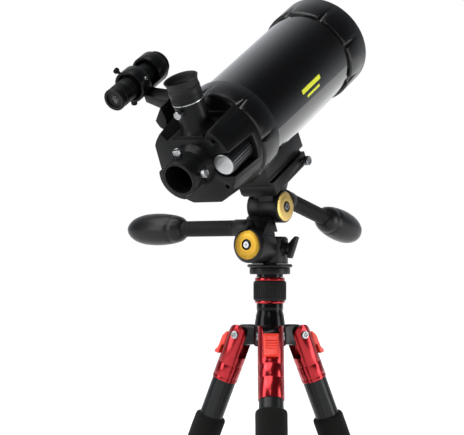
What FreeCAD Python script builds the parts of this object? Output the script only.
import FreeCAD, Part
import math
import os
from FreeCAD import Vector

# Maksutov telescope on a three-way pan head and a travel tripod. Millimetres, +Z up.
# Row frame: origin on the floor midway between the feet, on the pan axis; the front leg points to -Y.

# --- driving dimensions: optical tube (its own frame: X right, Y towards the sky, Z up) ---
TUBE_R = 56.0
TUBE_WALL = 2.0
TUBE_FRONT = 166.0          # front shoulder, measured along the tube from the tilt axis
TUBE_REAR = -22.0           # rear shoulder
CELL_R = 59.5
CELL_LENGTH = 42.0
REAR_RING_LENGTH = 34.0
SOCKET_DEPTH = 6.0
LENS_R = 48.0
SCOOP_COUNT = 8
HOUSING_LENGTH = 55.0
HOUSING_WALL = 3.0
PORT_BORE_R = 17.0
PORT_R = 21.0
PORT_LENGTH = 34.5
OPTICAL_HEIGHT = 114.0      # tube axis above the front tilt axis
EYEPIECE_FROM_FACE = 26.0   # eyepiece axis ahead of the housing's rear face
BARREL_R = 15.875           # 1.25 inch eyepiece barrel
HOLDER_R = 17.5
HOLDER_TOP = 66.0
KNOB_R = 13.3
KNOB_LENGTH = 42.0
MIRROR_R = 47.0
FINDER_R = 12.0
FINDER_LENGTH = 97.0

# --- driving dimensions: pan head ---
HEADING_DEG = -35.0         # turn of the head about the pan axis
ALTITUDE_DEG = 31.5         # tilt of the tube above level
SIDE_AXIS_RISE = 29.1       # side tilt axis above the head datum
FRONT_AXIS_RISE = 74.0      # front tilt axis above the head datum
HUB_R = 19.0
HOUSING_HUB_R = 21.15
CAP_R = 17.2
PAN_BODY_R = 21.3
ROD_R = 9.3
HANDLE_LENGTH = 179.0
GRIP_LENGTH = 85.0
GRIP_R = 19.1
PLATE_HALF_WIDTH = 25.0

# --- driving dimensions: tripod ---
HINGE_RADIUS = 39.0
LEG_SPREAD_DEG = 22.8
LEG_LENGTH = 372.0          # hinge axis to the centre of the foot's dome, legs pushed in
LEG_TUBE_R = 14.0
LOWER_TUBE_R = 11.7
FORK_R = 15.1
LUG_HALF_WIDTH = 9.0
FOOT_R = 11.0
FOOT_SQUASH = 1.0
HEAD_RISE = 76.0            # head datum above the leg hinges
COLUMN_R = 13.0
COLUMN_DROP = 150.0         # how far the column hangs below the hinges
LOCK_R = 19.25

# --- clearances ---
GAP = 0.3                   # between pieces on different bodies
RUNNING = 0.05              # radial clearance of a shaft in its hole

ORIGIN = Vector(0, 0, 0)
X = Vector(1, 0, 0)
Y = Vector(0, 1, 0)
Z = Vector(0, 0, 1)

HINGE_Z = LEG_LENGTH * math.cos(math.radians(LEG_SPREAD_DEG)) + FOOT_R - FOOT_SQUASH
HEAD_Z = HINGE_Z + HEAD_RISE
SIDE_AXIS_Z = HEAD_Z + SIDE_AXIS_RISE
FRONT_AXIS_Z = HEAD_Z + FRONT_AXIS_RISE

LEGS = {
    "front": {"azimuth": -90.0, "collar": 77.0, "grip": 90.0},
    "right": {"azimuth": 30.0, "collar": 57.0, "grip": 105.0},
    "left": {"azimuth": 150.0, "collar": 57.0, "grip": 105.0},
}

nodes = {}


# --- shape helpers ---
def rod(radius, start, end, axis=Z, at=ORIGIN):
    return Part.makeCylinder(radius, end - start, at + axis * start, axis)


def pipe(outer, inner, start, end, axis=Z, at=ORIGIN):
    return rod(outer, start, end, axis, at).cut(rod(inner, start, end, axis, at))


def box(x0, x1, y0, y1, z0, z1):
    return Part.makeBox(x1 - x0, y1 - y0, z1 - z0, Vector(x0, y0, z0))


def turned(profile, axis=Z, at=ORIGIN):
    """A closed profile of (radius, height) points, turned about an axis."""
    side = X if axis.cross(X).Length > 0.5 else Z
    points = [side * radius + axis * height for radius, height in profile]
    shape = Part.Face(Part.makePolygon(points + points[:1])).revolve(ORIGIN, axis, 360)
    shape.translate(at)
    return shape


def turned_curve(profile, axis=Z, at=ORIGIN):
    """A smooth body of revolution: (radius, height) points from the rim of one end to the far pole."""
    side = X if axis.cross(X).Length > 0.5 else Z
    points = [side * radius + axis * height for radius, height in profile]
    curve = Part.BSplineCurve()
    curve.interpolate(points)
    start, end = points[0], points[-1]
    foot = axis * profile[0][1]
    wire = Part.Wire([curve.toShape(), Part.makeLine(end, foot), Part.makeLine(foot, start)])
    shape = Part.Face(wire).revolve(ORIGIN, axis, 360)
    shape.translate(at)
    return shape


def slab(outline, start, end, axis):
    """An outline extruded along an axis. Points are (y, z) for X, (x, z) for Y and (x, y) for Z."""
    place = {
        "x": lambda a, b: Vector(start, a, b),
        "y": lambda a, b: Vector(a, start, b),
        "z": lambda a, b: Vector(a, b, start),
    }[axis]
    points = [place(a, b) for a, b in outline]
    direction = {"x": X, "y": Y, "z": Z}[axis]
    return Part.Face(Part.makePolygon(points + points[:1])).extrude(direction * (end - start))


def block_between(first, second):
    """A solid with flat sides between two outlines of the same number of corners."""
    wires = [Part.makePolygon(points + points[:1]) for points in (first, second)]
    return Part.makeLoft(wires, True, True)


def turn_copy(shape, degrees, axis=Z, at=ORIGIN):
    turned_shape = shape.copy()
    turned_shape.rotate(at, axis, degrees)
    return turned_shape


def joined(first, *others):
    return first.multiFuse(list(others)).removeSplitter()


def polar(angle_deg, radius):
    """A point across the optical axis: 0 degrees is right, 90 is up."""
    angle = math.radians(angle_deg)
    return Vector(radius * math.cos(angle), 0, radius * math.sin(angle))


def thumbscrew(shank_r, shank, head_r, head_length):
    """A knurled-head screw along +Z, its head starting at the shank's top."""
    head = turned([(0, shank), (head_r - 0.6, shank), (head_r, shank + 0.6),
                   (head_r, shank + head_length - 0.8), (head_r - 0.8, shank + head_length),
                   (0, shank + head_length)])
    collar = rod(head_r * 0.6, shank - 1.5, shank)
    return joined(head, collar, rod(shank_r, 0, shank))


def aimed(shape, direction, at):
    """Move a shape made along +Z so that it points along direction from a point."""
    placed = shape.copy()
    placed.Placement = FreeCAD.Placement(at, FreeCAD.Rotation(Z, direction)).multiply(shape.Placement)
    return placed


# --- placing: pan head frame and optical tube frame into the row frame ---
def in_head(shape):
    return turn_copy(shape, HEADING_DEG)


def in_scope(shape):
    placed = turn_copy(shape, ALTITUDE_DEG, X)
    placed.translate(Vector(0, 0, FRONT_AXIS_Z))
    return in_head(placed)


def in_leg(shape, azimuth):
    placed = turn_copy(shape, LEG_SPREAD_DEG, X)
    placed.translate(Vector(0, HINGE_RADIUS, HINGE_Z))
    return turn_copy(placed, azimuth - 90.0)


def add(name, shape):
    nodes[name] = shape


# ======================================================================= tripod
BOLT_R = 3.0
BOLT_HEAD_R = 4.6
LUG_TIP_R = 11.0
SLOT_HALF_WIDTH = LUG_HALF_WIDTH + GAP
FORK_TOP_R = 12.0
SLOT_DEPTH = 25.0
SPOT_FACE_X = FORK_R - 1.5


def make_spider():
    top = HEAD_RISE
    hub = turned([(15.5, top - 39.3), (15.5, top - 46.5), (14.9, top - 47.0), (15.2, top - 49.0),
                  (16.5, top - 54.0), (17.5, top - 61.0), (18.4, top - 68.0), (19.2, top - 76.0),
                  (19.2, -11.0), (17.5, -13.0), (COLUMN_R + GAP, -13.0), (COLUMN_R + GAP, top - 16.0),
                  (COLUMN_R + 1.6, top - 16.0), (COLUMN_R + 1.6, top - 39.3)])
    pieces = []
    for leg in LEGS.values():
        lug = joined(
            rod(LUG_TIP_R, -LUG_HALF_WIDTH, LUG_HALF_WIDTH, X, Vector(0, HINGE_RADIUS, 0)),
            rod(LUG_TIP_R + 1.5, -LUG_HALF_WIDTH, LUG_HALF_WIDTH, X, Vector(0, HINGE_RADIUS - 8, 0)),
            box(-LUG_HALF_WIDTH, LUG_HALF_WIDTH, COLUMN_R + 3, HINGE_RADIUS - 8, -11, LUG_TIP_R + 1))
        lug = lug.cut(rod(BOLT_R, -FORK_R, FORK_R, X, Vector(0, HINGE_RADIUS, 0)))
        pieces.append(turn_copy(lug, leg["azimuth"] - 90.0))
    spider = joined(hub, *pieces)
    spider.translate(Vector(0, 0, HINGE_Z))
    return spider


def make_hinge_bolts():
    bolts = []
    for leg in LEGS.values():
        bolt = rod(BOLT_R, -SPOT_FACE_X - GAP, SPOT_FACE_X + GAP, X)
        for side in (1, -1):
            head = rod(BOLT_HEAD_R, SPOT_FACE_X + GAP, FORK_R + 0.9, X * side)
            socket = rod(2.4, FORK_R - 0.6, FORK_R + 1.0, X * side)
            bolt = joined(bolt, head.cut(socket))
        bolt.translate(Vector(0, HINGE_RADIUS, HINGE_Z))
        bolts.append(turn_copy(bolt, leg["azimuth"] - 90.0))
    return Part.makeCompound(bolts)


def make_fork(collar_end):
    profile = [(-FORK_TOP_R, 0), (-FORK_R, -30), (-FORK_R, -collar_end), (FORK_R, -collar_end),
               (FORK_R, -30), (FORK_TOP_R, 0)]
    side = slab(profile, -FORK_R, FORK_R, "x").fuse(rod(FORK_TOP_R, -FORK_R, FORK_R, X))
    body = rod(FORK_R, -collar_end, FORK_TOP_R).common(side)
    body = body.cut(box(-SLOT_HALF_WIDTH, SLOT_HALF_WIDTH, -FORK_R - 1, FORK_R + 1,
                        -SLOT_DEPTH, FORK_TOP_R + 1))
    body = body.cut(rod(BOLT_R + RUNNING, -FORK_R, FORK_R, X))
    for side_sign in (1, -1):
        body = body.cut(rod(BOLT_HEAD_R + GAP, SPOT_FACE_X, FORK_R + 1, X * side_sign))
    body = body.cut(rod(LEG_TUBE_R, -collar_end - 1, -collar_end + 22))
    for depth in (37.0, 53.0):
        if depth < collar_end:
            body = body.cut(pipe(FORK_R + 1, FORK_R - 0.4, -depth - 0.5, -depth + 0.5))
    return body.removeSplitter()


LATCH_HALF_WIDTH = SLOT_HALF_WIDTH - 2 * GAP
LATCH_TRAVEL = 6.0


def make_latch():
    inner_foot = -SLOT_DEPTH + LATCH_TRAVEL + GAP
    outline = [(LUG_TIP_R + 1.2, -2.0), (LUG_TIP_R + 4.5, -2.0), (FORK_R + 3.4, -8.0),
               (FORK_R + 4.2, -24.0), (FORK_R + 6.4, -28.0), (FORK_R + 6.4, -31.0),
               (FORK_R + GAP, -31.0), (FORK_R + GAP, inner_foot), (LUG_TIP_R + 1.2, inner_foot)]
    return slab(outline, -LATCH_HALF_WIDTH, LATCH_HALF_WIDTH, "x")


TWIST_LOCK_TOP = 296.0
TWIST_LOCK_R = 17.6
LEG_TUBE_WALL = 1.8


def make_legs():
    for name, leg in LEGS.items():
        azimuth = leg["azimuth"]
        top = leg["collar"] - 22.0
        add(f"{name}_leg_fork", in_leg(make_fork(leg["collar"]), azimuth))
        add(f"{name}_leg_latch", in_leg(make_latch(), azimuth))
        tube = pipe(LEG_TUBE_R, LEG_TUBE_R - LEG_TUBE_WALL, -TWIST_LOCK_TOP - 14, -top)
        add(f"{name}_leg_tube", in_leg(tube, azimuth))
        grip = turned([(LEG_TUBE_R, -leg["grip"]), (LEG_TUBE_R + 3.4, -leg["grip"]),
                       (LEG_TUBE_R + 4.6, -leg["grip"] - 1.6), (LEG_TUBE_R + 4.6, -256.0),
                       (LEG_TUBE_R + 3.4, -258.0), (LEG_TUBE_R, -258.0)])
        add(f"{name}_leg_grip", in_leg(grip, azimuth))
        lock = turned([(LEG_TUBE_R + GAP, -TWIST_LOCK_TOP), (TWIST_LOCK_R - 1, -TWIST_LOCK_TOP),
                       (TWIST_LOCK_R, -TWIST_LOCK_TOP - 2), (TWIST_LOCK_R, -TWIST_LOCK_TOP - 27),
                       (TWIST_LOCK_R - 1.6, -TWIST_LOCK_TOP - 31), (LOWER_TUBE_R + GAP, -TWIST_LOCK_TOP - 31),
                       (LOWER_TUBE_R + GAP, -TWIST_LOCK_TOP - 14 - GAP),
                       (LEG_TUBE_R + GAP, -TWIST_LOCK_TOP - 14 - GAP)])
        add(f"{name}_leg_lock", in_leg(lock, azimuth))
        lower = pipe(LOWER_TUBE_R, LOWER_TUBE_R - 1.5, -LEG_LENGTH + 14, -top - 70)
        add(f"{name}_leg_lower_tube", in_leg(lower, azimuth))
        add(f"{name}_leg_foot", make_foot(azimuth))


def make_foot(azimuth):
    """A rubber foot pressed over the tube, with a dome that the floor has flattened."""
    skirt = turned([(0, -LEG_LENGTH), (FOOT_R, -LEG_LENGTH), (LOWER_TUBE_R + 2.0, -LEG_LENGTH + 12),
                    (LOWER_TUBE_R + 2.0, -LEG_LENGTH + 30), (LOWER_TUBE_R + 1.2, -LEG_LENGTH + 31),
                    (LOWER_TUBE_R, -LEG_LENGTH + 31), (LOWER_TUBE_R, -LEG_LENGTH + 14),
                    (0, -LEG_LENGTH + 14)])
    dome = Part.makeSphere(FOOT_R, Vector(0, 0, -LEG_LENGTH))
    foot = in_leg(joined(skirt, dome), azimuth)
    reach = HINGE_RADIUS + LEG_LENGTH
    return foot.cut(box(-reach, reach, -reach, reach, -2 * FOOT_R, 0))


def make_column():
    """The centre tube with the stem that carries the head, hung in the spider."""
    tube = pipe(COLUMN_R, COLUMN_R - 1.8, -COLUMN_DROP, HEAD_RISE - 8.4)
    end_plug = rod(COLUMN_R, -COLUMN_DROP, -COLUMN_DROP + 6)
    stem = rod(15.5, HEAD_RISE - 8.4, HEAD_RISE - 5.0)
    column = joined(tube, end_plug, stem)
    column.translate(Vector(0, 0, HINGE_Z))
    return column


def make_column_lock():
    """The ribbed rubber ring and the two anodised collars that hold it."""
    bore = COLUMN_R + 1.6 + GAP
    grip = turned([(bore, -36.0), (LOCK_R - 2.0, -36.0), (LOCK_R, -33.5), (LOCK_R, -14.5),
                   (LOCK_R - 2.0, -12.5), (bore, -12.5)])
    upper = turned([(bore, -12.5), (17.4, -12.5), (17.85, -11.4), (17.0, -8.7),
                    (COLUMN_R + GAP, -8.7), (COLUMN_R + GAP, -11.5), (bore, -11.5)])
    lower = turned([(bore, -39.0), (16.8, -39.0), (17.85, -37.4), (17.4, -36.0), (bore, -36.0)])
    grip.translate(Vector(0, 0, HEAD_Z))
    collars = Part.makeCompound([upper, lower])
    collars.translate(Vector(0, 0, HEAD_Z))
    return grip, collars


# ======================================================================= pan head
PIVOT_R = 8.0
HOUSING_FRONT = -46.5       # the side tilt housing's outer face, towards the eyepiece end
HOUSING_BACK = -17.0
SPLIT_X = -4.0              # where the arm's half of the front tilt hub ends
HUB_LEFT = -20.4
HUB_RIGHT = 21.6
SIDE_ROD_Y = -40.0
SIDE_ROD_RISE = 19.4        # side handle above the side tilt axis
FRONT_ROD_X = 13.4
FRONT_ROD_OFFSET = 12.6     # front handle above the front tilt axis
FRONT_ROD_DEG = -45.0       # front handle against the tube axis
BOSS_R = 10.2
BOSS_END = 20.0
CAP_SEAT = 3.0              # how deep the gold caps sit in their hubs
SWING_CLEARANCE = 2.0       # between castings that swing past each other
ARM_FLANK_BACK = -10.0      # where the arm's flank stops, ahead of the platform's hub


def make_pan_base():
    base = turned([(0, -5), (23.0, -5), (23.8, -4), (23.8, 2), (22.6, 2.6), (25.2, 3),
                   (26.5, 4.2), (26.5, 5.8), (25.0, 7), (0, 7)])
    base = joined(base, rod(PIVOT_R, 7, 17))
    base.translate(Vector(0, 0, HEAD_Z))
    return base


def make_pan_body():
    body = turned([(0, 7 + GAP), (PAN_BODY_R, 7 + GAP), (PAN_BODY_R, 36.5), (PAN_BODY_R - 2.5, 39), (0, 39)])
    body = body.cut(box(-30, 30, -30, HOUSING_BACK + GAP, 0, 50))
    body = joined(body, rod(7.5, 0, PAN_BODY_R + 3.3, X, Vector(0, 0, SIDE_AXIS_RISE - 4)))
    body = body.cut(rod(PIVOT_R + RUNNING, 7, 17 + GAP))
    body = joined(body, rod(PIVOT_R, -HOUSING_BACK - GAP - 1, -HOUSING_BACK + 14, -Y,
                            Vector(0, 0, SIDE_AXIS_RISE)))
    body = body.cut(rod(4 + RUNNING, 12, PAN_BODY_R + 6, X, Vector(0, 0, SIDE_AXIS_RISE - 4)))
    body.translate(Vector(0, 0, HEAD_Z))
    return in_head(body)


def make_pan_knob():
    """The pan lock: a threaded stub with a hub and a raked wing."""
    start = PAN_BODY_R + 3.3 + GAP
    stub = rod(4, 12 + GAP, start, X)
    hub = rod(6.5, start, start + 4.2, X)
    wing = slab([(25.2, -6.0), (27.0, -11.0), (30.0, -11.5), (34.5, 0.0), (39.0, 12.5),
                 (36.5, 14.0), (32.0, 10.0), (27.5, 5.0)], -3.2, 3.2, "y")
    wing.translate(Vector(start - 24.9, 0, 0))
    knob = joined(stub, hub, wing)
    knob.translate(Vector(0, 0, SIDE_AXIS_Z - 4))
    return in_head(knob)


def make_tilt_arm():
    """Side tilt housing, the leaning arm, and the arm's half of the front tilt hub."""
    rise = SIDE_AXIS_RISE
    housing = turned([(0, -HOUSING_BACK), (HOUSING_HUB_R, -HOUSING_BACK), (HOUSING_HUB_R, -HOUSING_FRONT - 2.6),
                      (CAP_R + 1.0, -HOUSING_FRONT), (0, -HOUSING_FRONT)], -Y, Vector(0, 0, rise))
    hub = turned([(0, -HUB_LEFT), (HUB_R - 1.2, -HUB_LEFT), (HUB_R, -HUB_LEFT - 1.2), (HUB_R, -SPLIT_X),
                  (0, -SPLIT_X)], -X, Vector(0, 0, FRONT_AXIS_RISE))
    low, high = rise + 11.0, FRONT_AXIS_RISE - 11.0
    foot = [Vector(-18.0, -44, low), Vector(19.0, -44, low), Vector(19.0, HOUSING_BACK, low),
            Vector(-18.0, HOUSING_BACK, low)]
    shoulder = [Vector(HUB_LEFT, -16, high), Vector(12.0, -16, high), Vector(12.0, 14, high),
                Vector(HUB_LEFT, 14, high)]
    arm = block_between(foot, shoulder)
    boss = rod(BOSS_R, 0, BOSS_END, -X, Vector(0, SIDE_ROD_Y, rise + SIDE_ROD_RISE))
    arm = arm.cut(rod(PAN_BODY_R + SWING_CLEARANCE, HOUSING_BACK, PAN_BODY_R, Y, Vector(0, 0, rise)))
    arm = arm.cut(box(SPLIT_X, PLATE_HALF_WIDTH, ARM_FLANK_BACK, PAN_BODY_R, rise, FRONT_AXIS_RISE))
    body = joined(housing, hub, arm, boss)
    body = body.cut(rod(HUB_R + SWING_CLEARANCE, SPLIT_X, 40, X, Vector(0, 0, FRONT_AXIS_RISE)))
    body = body.cut(rod(PIVOT_R + RUNNING, -HOUSING_BACK - 1, -HOUSING_BACK + 14 + GAP, -Y, Vector(0, 0, rise)))
    body = body.cut(rod(CAP_R, -HOUSING_FRONT - CAP_SEAT, -HOUSING_FRONT + BOSS_R, -Y, Vector(0, 0, rise)))
    body = body.cut(rod(5 + RUNNING, 6, BOSS_END + 1, -X, Vector(0, SIDE_ROD_Y, rise + SIDE_ROD_RISE)))
    body = body.cut(rod(PIVOT_R + RUNNING, -SPLIT_X - 1, -SPLIT_X + 10 + GAP, -X,
                        Vector(0, 0, FRONT_AXIS_RISE)))
    body.translate(Vector(0, 0, HEAD_Z))
    return in_head(body)


def make_cap(depth):
    """A gold anodised cap: a shallow cone with a sunk screw, seated depth deep, along +Z."""
    cap = turned([(0, 0), (CAP_R, 0), (CAP_R, depth), (CAP_R - 0.8, depth + 0.8),
                  (6.4, depth + 2.6), (5.4, depth + 2.0), (5.0, depth - 0.4), (0, depth - 0.4)])
    screw = rod(3.6, depth - 0.4, depth + 1.4).cut(rod(1.6, depth, depth + 2))
    return joined(cap, screw)


def make_handle(name, place):
    """A lock rod with its stub in the boss, and the egg grip on its end, along +Z from the pivot."""
    neck = HANDLE_LENGTH - GRIP_LENGTH
    stub = rod(5, 6 + GAP, BOSS_END + GAP)
    sleeve = turned([(0, BOSS_END + GAP), (ROD_R - 0.5, BOSS_END + GAP), (ROD_R, BOSS_END + GAP + 0.5),
                     (ROD_R, neck), (0, neck)])
    add(f"{name}_handle_rod", place(joined(stub, sleeve)))
    outline = [(0.565, 0), (0.75, 0.065), (0.89, 0.19), (0.975, 0.34), (1.0, 0.47), (0.965, 0.635),
               (0.84, 0.775), (0.565, 0.9), (0.29, 0.965), (0, 1.0)]
    egg = turned_curve([(GRIP_R * wide, GRIP_LENGTH * along) for wide, along in outline], Z, Vector(0, 0, neck))
    add(f"{name}_handle_grip", place(egg))


def place_side_handle(shape):
    placed = aimed(shape, -X, Vector(0, SIDE_ROD_Y, SIDE_AXIS_Z + SIDE_ROD_RISE))
    return in_head(placed)


def front_handle_direction():
    angle = math.radians(FRONT_ROD_DEG)
    return Vector(0, math.cos(angle), math.sin(angle))


def front_handle_base():
    along = front_handle_direction()
    return Vector(FRONT_ROD_X, 0, 0) + Vector(0, -along.z, along.y) * FRONT_ROD_OFFSET


def place_front_handle(shape):
    return in_scope(aimed(shape, front_handle_direction(), front_handle_base()))


# the quick-release plate and the clamp, in the optical tube frame about the front tilt axis
PLATE_REAR = -12.0
PLATE_FRONT = 65.0
PLATE_TOP = 34.0
PLATE_THICK = 13.0
BAR_HALF_WIDTH = 19.0
BAR_TOP = 41.0
SADDLE_HALF_WIDTH = 20.0
CLAMP_Y = 58.0
CLAMP_Z = 29.0


def make_tilt_platform():
    """The front tilt hub, its neck, and the platform with two jaws for the mounting bar."""
    hub = turned([(0, SPLIT_X + GAP), (HUB_R, SPLIT_X + GAP), (HUB_R, HUB_RIGHT - 1.5),
                  (CAP_R + 0.6, HUB_RIGHT), (0, HUB_RIGHT)], X)
    floor = PLATE_TOP - PLATE_THICK
    neck_foot = [Vector(SPLIT_X + GAP, -14, 8), Vector(15, -14, 8), Vector(15, 17, 8), Vector(SPLIT_X + GAP, 17, 8)]
    neck_top = [Vector(-11, -10, floor + 1), Vector(17, -10, floor + 1), Vector(17, 34, floor + 1),
                Vector(-11, 34, floor + 1)]
    neck = block_between(neck_foot, neck_top).cut(rod(HUB_R + SWING_CLEARANCE, HUB_LEFT, SPLIT_X + GAP, X))
    plate = slab([(-PLATE_HALF_WIDTH + 3, floor), (PLATE_HALF_WIDTH - 3, floor), (PLATE_HALF_WIDTH, floor + 3),
                  (PLATE_HALF_WIDTH, PLATE_TOP + 4), (BAR_HALF_WIDTH + 1.2, PLATE_TOP + 4),
                  (BAR_HALF_WIDTH + 3.0, PLATE_TOP), (-BAR_HALF_WIDTH - 3.0, PLATE_TOP),
                  (-BAR_HALF_WIDTH - 1.2, PLATE_TOP + 4), (-PLATE_HALF_WIDTH, PLATE_TOP + 4),
                  (-PLATE_HALF_WIDTH, floor + 3)], PLATE_REAR, PLATE_FRONT, "y")
    boss = aimed(rod(BOSS_R, 6, BOSS_END), front_handle_direction(), front_handle_base())
    pivot = rod(PIVOT_R, -SPLIT_X - GAP - 1, -SPLIT_X + 10, -X)
    body = joined(hub, neck, plate, boss, pivot)
    body = body.cut(rod(CAP_R, HUB_RIGHT - CAP_SEAT, HUB_RIGHT + BOSS_R, X))
    body = body.cut(aimed(rod(5 + RUNNING, 6, BOSS_END + 1), front_handle_direction(), front_handle_base()))
    body = body.cut(rod(3 + RUNNING, 8, PLATE_HALF_WIDTH + 1, X, Vector(0, CLAMP_Y, CLAMP_Z)))
    return in_scope(body)


def make_clamp_knob():
    nut = thumbscrew(3.0, PLATE_HALF_WIDTH + GAP + 1.5 - 8 - GAP, 5.6, 6.5)
    return in_scope(aimed(nut, X, Vector(8 + GAP, CLAMP_Y, CLAMP_Z)))


# ======================================================================= optical tube
AXIS = Vector(0, 0, OPTICAL_HEIGHT)
RING_FRONT = TUBE_REAR + SOCKET_DEPTH
RING_BACK = RING_FRONT - REAR_RING_LENGTH
FACE_Y = RING_BACK - HOUSING_LENGTH
EYE_Y = FACE_Y + EYEPIECE_FROM_FACE
CELL_FRONT = TUBE_FRONT + CELL_LENGTH
LENS_BACK = TUBE_FRONT + 16.0
LENS_THICK = 9.0
LENS_SAG = 7.0
SEAT_WIDTH = 3.0
WEB_THICK = 3.0
BAFFLE_R = 9.0
MIRROR_BACK = RING_BACK + 12.0
MIRROR_THICK = 10.0
MIRROR_SAG = 3.5
MIRROR_TRAVEL = 2.1


def scooped(shape, rear_edge, first_deg):
    """Cut the finger scoops: cones that run out towards the front."""
    tools = []
    for index in range(SCOOP_COUNT):
        angle = first_deg + index * 360.0 / SCOOP_COUNT
        scoop = Part.makeCone(6.0, 0.6, 27.0, ORIGIN, Y)
        scoop.translate(AXIS + polar(angle, CELL_R + 2.0) + Y * (rear_edge - 1.0))
        tools.append(scoop)
    return shape.cut(Part.makeCompound(tools))


def make_main_tube():
    return in_scope(pipe(TUBE_R, TUBE_R - TUBE_WALL, TUBE_REAR, TUBE_FRONT + SOCKET_DEPTH, Y, AXIS))


def make_front_cell():
    back, front = TUBE_FRONT, CELL_FRONT
    cell = turned([(TUBE_R, back), (CELL_R - 1.4, back), (CELL_R, back + 1.8), (CELL_R, front - 2.0),
                   (CELL_R - 1.6, front), (LENS_R + 5.0, front), (LENS_R + 2.0, LENS_BACK + LENS_THICK + 2),
                   (LENS_R, LENS_BACK + LENS_THICK + 1.5), (LENS_R, LENS_BACK), (LENS_R - SEAT_WIDTH, LENS_BACK),
                   (LENS_R - SEAT_WIDTH, back + SOCKET_DEPTH), (TUBE_R, back + SOCKET_DEPTH)], Y, AXIS)
    return in_scope(scooped(cell, back, 10.0))


def bowl(rim, edge_y, sag, inner=0.0):
    """A hollow spherical face as an arc from its rim in to a hole, sunk by sag at the axis."""
    curve_r = (rim * rim + sag * sag) / (2 * sag)

    def depth(radius):
        return edge_y - sag + curve_r - math.sqrt(curve_r * curve_r - radius * radius)

    middle = (rim + inner) / 2
    return Part.Arc(Vector(rim, edge_y, 0), Vector(middle, depth(middle), 0), Vector(inner, depth(inner), 0))


def make_corrector():
    """A thick meniscus: both faces curve towards the mirror, and a flat rim sits on the cell's shoulder."""
    edge_y = LENS_BACK + LENS_THICK
    front = bowl(LENS_R, edge_y, LENS_SAG)
    back = bowl(LENS_R - SEAT_WIDTH, LENS_BACK, LENS_SAG)
    rim = Vector(LENS_R, LENS_BACK, 0)
    wire = Part.Wire([front.toShape(), Part.makeLine(front.EndPoint, back.EndPoint), back.toShape(),
                      Part.makeLine(back.StartPoint, rim), Part.makeLine(rim, front.StartPoint)])
    lens = Part.Face(wire).revolve(ORIGIN, Y, 360)
    lens.translate(AXIS)
    return in_scope(lens)


KNOB_X = 38.0               # focus knob, right of the optical axis
KNOB_DROP = 2.5             # and below it
KNOB_POCKET_R = KNOB_R + 1.3
FLIP_AXLE_R = 2.5
FLIP_Y = EYE_Y + 12.0
FLIP_Z = -12.0
FLIP_LENGTH = 31.0


def knob_place():
    return Vector(KNOB_X, 0, OPTICAL_HEIGHT - KNOB_DROP)


def make_rear_ring():
    ring = turned([(TUBE_R - 6, RING_BACK), (CELL_R - 2.2, RING_BACK), (CELL_R, RING_BACK + 2), (CELL_R, RING_FRONT - 1.6),
                   (CELL_R - 1.4, RING_FRONT), (TUBE_R, RING_FRONT), (TUBE_R, TUBE_REAR), (TUBE_R - 6, TUBE_REAR)],
                  Y, AXIS)
    web = pipe(TUBE_R - 5, BAFFLE_R, RING_BACK, RING_BACK + WEB_THICK, Y, AXIS)
    web = web.cut(rod(2.5 + RUNNING, RING_BACK, RING_BACK + WEB_THICK, Y, knob_place()))
    return in_scope(scooped(joined(ring, web), RING_BACK, 0.0))


def make_baffle():
    """The light baffle through the main mirror, flanged to the rear web."""
    tube = pipe(BAFFLE_R, BAFFLE_R - 1.5, RING_BACK, RING_BACK + 96, Y, AXIS)
    flange = pipe(18.0, BAFFLE_R - 1.5, RING_BACK + WEB_THICK, RING_BACK + WEB_THICK + 2, Y, AXIS)
    return in_scope(joined(tube, flange))


def make_primary_mirror():
    hole = BAFFLE_R + GAP
    arc = bowl(MIRROR_R, MIRROR_BACK + MIRROR_THICK, MIRROR_SAG, hole)
    corners = [arc.EndPoint, Vector(hole, MIRROR_BACK, 0), Vector(MIRROR_R, MIRROR_BACK, 0), arc.StartPoint]
    sides = [Part.makeLine(a, b) for a, b in zip(corners[:-1], corners[1:])]
    mirror = Part.Face(Part.Wire([arc.toShape()] + sides)).revolve(ORIGIN, Y, 360)
    mirror.translate(AXIS)
    return in_scope(mirror)


# rear housing outline, seen from behind: x right and z up from the optical axis
FACE_OUTLINE = [(-26.0, 33.0), (-32.0, 41.0), (-44.6, 27.5), (-47.8, -8.0), (-28.5, -43.5), (-23.7, -48.0),
                (20.4, -48.0), (41.0, -32.0), (52.0, -16.0), (53.0, 14.0), (42.0, 34.0), (34.0, 41.0),
                (25.0, 33.0)]
FACE_FLARE = 1.17
POCKET_FLOOR = 30.5

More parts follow.
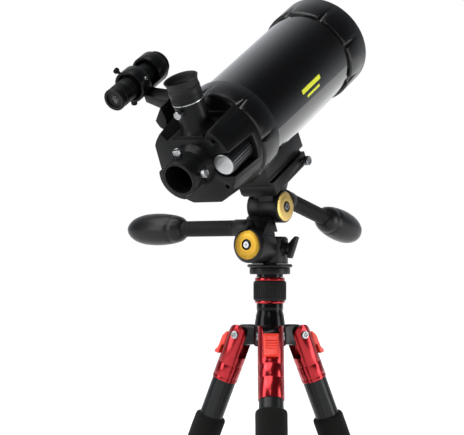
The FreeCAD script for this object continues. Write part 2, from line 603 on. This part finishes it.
def make_rear_housing():
    """The flip-mirror box: a flared prism blended into a cone, with the eyepiece deck and the knob bay."""
    first = [Vector(x, FACE_Y, z) for x, z in FACE_OUTLINE]
    flared = [Vector(x * FACE_FLARE, RING_BACK, z * FACE_FLARE) for x, z in FACE_OUTLINE]
    shell = block_between(first, flared)
    cone = Part.makeCone(CELL_R - 8.0, CELL_R - 1.8, HOUSING_LENGTH, Vector(0, FACE_Y, 0), Y)
    body = shell.common(cone)
    deck = slab([(-26.0, POCKET_FLOOR), (25.0, POCKET_FLOOR), (38.0, 52.0), (38.0, 90.0), (-40.0, 90.0),
                 (-36.0, 46.0)], FACE_Y - 1, RING_BACK - 4, "y")
    body = body.cut(deck)
    pad = box(-21, 20, FACE_Y + 5, RING_BACK - 5, POCKET_FLOOR - 1, POCKET_FLOOR + 2)
    body = joined(body, pad)
    wall = HOUSING_WALL
    cavity = rod(CELL_R - 13.0, FACE_Y + wall, RING_BACK + 1, Y).common(
        box(-60, KNOB_X - KNOB_POCKET_R - wall, FACE_Y, RING_BACK + 1, -60, POCKET_FLOOR - wall))
    body = body.cut(cavity)
    knob_axis = Vector(KNOB_X, 0, -KNOB_DROP)
    bay_end = FACE_Y + KNOB_LENGTH + 1.5
    bay = joined(rod(KNOB_POCKET_R, FACE_Y - 1, bay_end, Y, knob_axis),
                 box(KNOB_X, TUBE_R + BOSS_R, FACE_Y - 1, bay_end, -KNOB_DROP - KNOB_POCKET_R,
                     -KNOB_DROP + KNOB_POCKET_R))
    body = body.cut(bay)
    body = body.cut(rod(2.5 + RUNNING, FACE_Y + KNOB_LENGTH, RING_BACK + 1, Y, knob_axis))
    body = body.cut(rod(PORT_BORE_R, FACE_Y - 1, FACE_Y + wall + 1, Y))
    body = body.cut(rod(BARREL_R + RUNNING, 0, POCKET_FLOOR + 3, Z, Vector(0, EYE_Y, 0)))
    for x, z in ((35.0, 27.0), (34.0, -29.0)):
        body = body.cut(rod(2.6, FACE_Y - 1, FACE_Y + 7, Y, Vector(x, 0, z)))
    body = body.cut(rod(FLIP_AXLE_R + RUNNING, 20, 70, -X, Vector(0, FLIP_Y, FLIP_Z)))
    body.translate(AXIS)
    return body


def make_focus_knob():
    knob = turned([(0, FACE_Y + 0.6), (KNOB_R - 1.0, FACE_Y + 0.6), (KNOB_R, FACE_Y + 1.6),
                   (KNOB_R, FACE_Y + KNOB_LENGTH), (0, FACE_Y + KNOB_LENGTH)], Y, knob_place())
    rod_end = MIRROR_BACK - MIRROR_TRAVEL - GAP
    screw = rod(2.5, FACE_Y + KNOB_LENGTH, rod_end, Y, knob_place())
    return in_scope(joined(knob, screw))


def make_flip_mirror():
    """The flip mirror at 45 degrees on its axle, with the lever that turns it outside the left wall."""
    plate = box(-15.5, 15.5, 1.0, FLIP_LENGTH, -1.6, 1.6)
    plate = turn_copy(plate, 135, X)
    axle = joined(rod(FLIP_AXLE_R, -17, 55.5, -X), rod(5.2, 55.5, 62.0, -X),
                  slab([(-3.4, 0), (3.4, 0), (2.4, 15), (-2.4, 15)], -62.0, -57.5, "x"))
    flip = joined(plate, axle)
    flip.translate(AXIS + Vector(0, FLIP_Y, FLIP_Z))
    return in_scope(flip)


def make_eyepiece_holder():
    foot = POCKET_FLOOR + 2.0
    holder = turned([(BARREL_R + RUNNING, foot), (HOLDER_R + 3.0, foot), (HOLDER_R + 1.0, foot + 3.0),
                     (HOLDER_R, foot + 8.0), (HOLDER_R, HOLDER_TOP - 1.0), (HOLDER_R - 0.6, HOLDER_TOP),
                     (BARREL_R + RUNNING, HOLDER_TOP)])
    lug = rod(4.2, BARREL_R + 1, HOLDER_R + 2.4, -Y, Vector(0, 0, HOLDER_TOP - 6.0))
    holder = joined(holder, lug)
    holder = holder.cut(rod(2.0 + RUNNING, BARREL_R - 1, HOLDER_R + 4, -Y, Vector(0, 0, HOLDER_TOP - 6.0)))
    holder.translate(AXIS + Vector(0, EYE_Y, 0))
    return in_scope(holder)


def make_holder_screw():
    start = BARREL_R + GAP
    screw = thumbscrew(2.0, HOLDER_R + 2.4 + GAP + 1.5 - start, 4.8, 5.5)
    return in_scope(aimed(screw, -Y, AXIS + Vector(0, EYE_Y - start, HOLDER_TOP - 6.0)))


def make_eyepiece():
    body = turned([(11.5, HOLDER_TOP - 24), (BARREL_R, HOLDER_TOP - 24), (BARREL_R, HOLDER_TOP + GAP),
                   (18.3, HOLDER_TOP + GAP), (18.3, HOLDER_TOP + 1.6), (17.4, HOLDER_TOP + 2.2),
                   (17.4, HOLDER_TOP + 3.6), (18.4, HOLDER_TOP + 4.2), (18.4, HOLDER_TOP + 15),
                   (9.0, HOLDER_TOP + 15), (9.0, HOLDER_TOP + 6), (11.5, HOLDER_TOP + 2)])
    body.translate(AXIS + Vector(0, EYE_Y, 0))
    cup = turned([(14.5, HOLDER_TOP + 15), (18.4, HOLDER_TOP + 15), (17.9, HOLDER_TOP + 19),
                  (18.3, HOLDER_TOP + 23), (19.8, HOLDER_TOP + 27), (18.6, HOLDER_TOP + 27),
                  (16.9, HOLDER_TOP + 23.5), (16.2, HOLDER_TOP + 19), (14.5, HOLDER_TOP + 18)])
    cup.translate(AXIS + Vector(0, EYE_Y, 0))
    return in_scope(body), in_scope(cup)


PORT_SCREW_Y = FACE_Y - 22.0
GUARD_MIDDLE = polar(212.0, 1.0)


def make_rear_port():
    """The straight-through port: a short tube with a crescent guard and two screw bosses."""
    end = FACE_Y - PORT_LENGTH
    tube = turned([(PORT_BORE_R, end), (PORT_R - 0.6, end), (PORT_R, end + 0.8), (PORT_R, FACE_Y - 8),
                   (PORT_R + 5.0, FACE_Y), (PORT_BORE_R, FACE_Y)], Y)
    guard = pipe(PORT_R + 5.5, PORT_R - 1, end + 3, FACE_Y, Y)
    keep = Part.makeCylinder(PORT_R + 8, PORT_LENGTH, Vector(0, end, 0), Y, 105)
    # the sector starts along the cylinder's own reference direction, so it is turned to the lower left
    keep = turn_copy(keep, sector_turn(keep), Y)
    port = joined(tube, guard.common(keep))
    for direction in (Z, X):
        port = joined(port, rod(4.0, PORT_R - 2, PORT_R + 2.0, direction, Vector(0, PORT_SCREW_Y, 0)))
        port = port.cut(rod(2.0 + RUNNING, PORT_BORE_R - 1, PORT_R + 3, direction, Vector(0, PORT_SCREW_Y, 0)))
    port.translate(AXIS)
    return in_scope(port)


def sector_turn(sector):
    """Degrees about +Y that bring a sector's middle to the lower left, seen from behind."""
    centre = sector.CenterOfMass
    now = math.degrees(math.atan2(-centre.z, centre.x))
    wanted = math.degrees(math.atan2(-GUARD_MIDDLE.z, GUARD_MIDDLE.x))
    return wanted - now


def make_port_screw(direction):
    screw = thumbscrew(2.0, PORT_R + 2.0 + GAP + 1.5 - PORT_BORE_R, 4.6, 5.5)
    return in_scope(aimed(screw, direction, AXIS + Vector(0, PORT_SCREW_Y, 0) + direction * PORT_BORE_R))


def make_dovetail_foot():
    """The saddle under the tube and the bar that the head clamps."""
    saddle = slab([(-SADDLE_HALF_WIDTH, BAR_TOP), (SADDLE_HALF_WIDTH, BAR_TOP),
                   (SADDLE_HALF_WIDTH, OPTICAL_HEIGHT - 50), (-SADDLE_HALF_WIDTH, OPTICAL_HEIGHT - 50)],
                  PLATE_REAR, PLATE_FRONT + 8, "y")
    saddle = saddle.cut(rod(TUBE_R, PLATE_REAR - 1, PLATE_FRONT + 9, Y, AXIS))
    bar = slab([(-BAR_HALF_WIDTH - 2.5, PLATE_TOP + GAP), (BAR_HALF_WIDTH + 2.5, PLATE_TOP + GAP),
                (BAR_HALF_WIDTH, BAR_TOP), (-BAR_HALF_WIDTH, BAR_TOP)], PLATE_REAR, PLATE_FRONT, "y")
    return in_scope(joined(saddle, bar))


# finder, about its own axis left of and above the tube
FINDER_X = -88.0
FINDER_Z = 79.5
FINDER_REAR = FACE_Y + 10.0
RING_OUTER_R = 19.0
RING_INNER_R = 16.2
RING_REAR = FINDER_REAR + 33.0
RING_LENGTH = 54.0
FINDER_SCREW_Y = RING_REAR + 9.0
SCREW_ANGLES = {"upper": 135.0, "lower": 250.0}
SPRING_ANGLE = 15.0
FINDER_AXIS = Vector(FINDER_X, 0, OPTICAL_HEIGHT + FINDER_Z)


def make_finder_bracket(housing):
    """The shoe on the housing, the tapered arm, and the open ring that carries the finder."""
    ring = pipe(RING_OUTER_R, RING_INNER_R, RING_REAR, RING_REAR + RING_LENGTH, Y)
    seat = pipe(RING_OUTER_R - 1, FINDER_R, RING_REAR + RING_LENGTH - 5, RING_REAR + RING_LENGTH - 1, Y)
    window = rod(RING_OUTER_R + 1, RING_REAR + 17, RING_REAR + 37, Y)
    struts = joined(box(-RING_OUTER_R, RING_OUTER_R, RING_REAR, RING_REAR + 40, -RING_OUTER_R, -9.0),
                    box(-RING_OUTER_R, -11.0, RING_REAR, RING_REAR + 40, -RING_OUTER_R, 8.0))
    ring = joined(ring.cut(window.cut(struts)), seat)
    for angle in SCREW_ANGLES.values():
        ring = ring.cut(rod(1.6 + RUNNING, RING_INNER_R - 1, RING_OUTER_R + 1, polar(angle, 1.0),
                            Vector(0, FINDER_SCREW_Y, 0)))
    plunger = rod(2.6, FINDER_R, RING_OUTER_R + 1.4, polar(SPRING_ANGLE, 1.0), Vector(0, FINDER_SCREW_Y, 0))
    ring = joined(ring, plunger)
    ring.translate(Vector(FINDER_X, 0, FINDER_Z))
    arm = block_between(
        [Vector(-42, -62, 44), Vector(-42, -38, 44), Vector(-42, -38, 60), Vector(-42, -62, 60)],
        [Vector(-77, -56, 57), Vector(-77, -36, 57), Vector(-77, -36, 66), Vector(-77, -56, 66)])
    shoe = slab([(-53, 44), (-48, 50), (-40, 60), (-38, 44), (-43, 30), (-50, 36)], EYE_Y - 1, RING_BACK, "y")
    bracket = joined(ring, arm, shoe)
    bracket = bracket.cut(rod(RING_INNER_R, RING_REAR - 1, RING_REAR + RING_LENGTH - 5, Y,
                              Vector(FINDER_X, 0, FINDER_Z)).cut(
        rod(2.6, FINDER_R, RING_INNER_R + 1, polar(SPRING_ANGLE, 1.0),
            Vector(FINDER_X, FINDER_SCREW_Y, FINDER_Z))))
    bracket = bracket.cut(rod(CELL_R, RING_BACK, TUBE_REAR, Y))
    bracket.translate(AXIS)
    return in_scope(bracket.cut(housing))


def make_finder_screw(angle):
    direction = polar(angle, 1.0)
    screw = thumbscrew(1.6, RING_OUTER_R + GAP + 3.5 - FINDER_R, 3.6, 4.5)
    start = FINDER_AXIS + Vector(0, FINDER_SCREW_Y, 0) + direction * (FINDER_R + GAP)
    return in_scope(aimed(screw, direction, start))


def make_finder():
    front = FINDER_REAR + FINDER_LENGTH
    join_y = FINDER_REAR + 31.0
    tube = turned([(FINDER_R - 1.2, join_y), (FINDER_R, join_y), (FINDER_R, front - 9),
                   (FINDER_R + 3.0, front - 8), (FINDER_R + 3.0, front - 1), (FINDER_R + 2.2, front),
                   (FINDER_R, front), (FINDER_R, front - 3), (FINDER_R - 1.2, front - 3)], Y)
    lens = rod(FINDER_R - 1.2, front - 6, front - 3, Y)
    eyepiece = turned([(0, FINDER_REAR + 2.5), (9.0, FINDER_REAR + 2.5), (9.6, FINDER_REAR), (12.6, FINDER_REAR),
                       (13.2, FINDER_REAR + 1.0), (13.2, FINDER_REAR + 4.5), (12.2, FINDER_REAR + 6),
                       (12.4, FINDER_REAR + 20), (13.0, FINDER_REAR + 22), (13.0, join_y - GAP), (0, join_y - GAP)], Y)
    for shape in (tube, lens, eyepiece):
        shape.translate(FINDER_AXIS)
    return in_scope(joined(tube, lens)), in_scope(eyepiece)


def build():
    add("spider", make_spider())
    add("leg_hinge_bolts", make_hinge_bolts())
    make_legs()
    add("column_tube", make_column())
    grip, collars = make_column_lock()
    add("column_lock_grip", grip)
    add("column_lock_collars", collars)

    add("pan_base", make_pan_base())
    add("pan_body", make_pan_body())
    add("pan_lock_knob", make_pan_knob())
    add("tilt_arm", make_tilt_arm())
    side_cap = aimed(make_cap(CAP_SEAT), -Y, Vector(0, HOUSING_FRONT + CAP_SEAT, SIDE_AXIS_Z))
    add("side_tilt_cap", in_head(side_cap))
    make_handle("side", place_side_handle)
    add("tilt_platform", make_tilt_platform())
    add("front_tilt_cap", in_scope(aimed(make_cap(CAP_SEAT), X, Vector(HUB_RIGHT - CAP_SEAT, 0, 0))))
    make_handle("front", place_front_handle)
    add("clamp_knob", make_clamp_knob())

    add("main_tube", make_main_tube())
    add("front_cell", make_front_cell())
    add("corrector_lens", make_corrector())
    add("rear_ring", make_rear_ring())
    add("mirror_baffle", make_baffle())
    add("primary_mirror", make_primary_mirror())
    housing = make_rear_housing()
    add("rear_housing", in_scope(housing))
    add("focus_knob", make_focus_knob())
    add("flip_mirror", make_flip_mirror())
    add("eyepiece_holder", make_eyepiece_holder())
    add("holder_screw", make_holder_screw())
    body, cup = make_eyepiece()
    add("eyepiece_body", body)
    add("eyepiece_cup", cup)
    add("rear_port", make_rear_port())
    add("port_screw_top", make_port_screw(Z))
    add("port_screw_side", make_port_screw(X))
    add("dovetail_foot", make_dovetail_foot())
    add("finder_bracket", make_finder_bracket(housing))
    for name, angle in SCREW_ANGLES.items():
        add(f"finder_screw_{name}", make_finder_screw(angle))
    tube, eyepiece = make_finder()
    add("finder_tube", tube)
    add("finder_eyepiece", eyepiece)


build()
os.makedirs("parts", exist_ok=True)
for node_name, node_shape in nodes.items():
    node_shape.exportStep(f"parts/{node_name}.step")
print(len(nodes), "nodes")
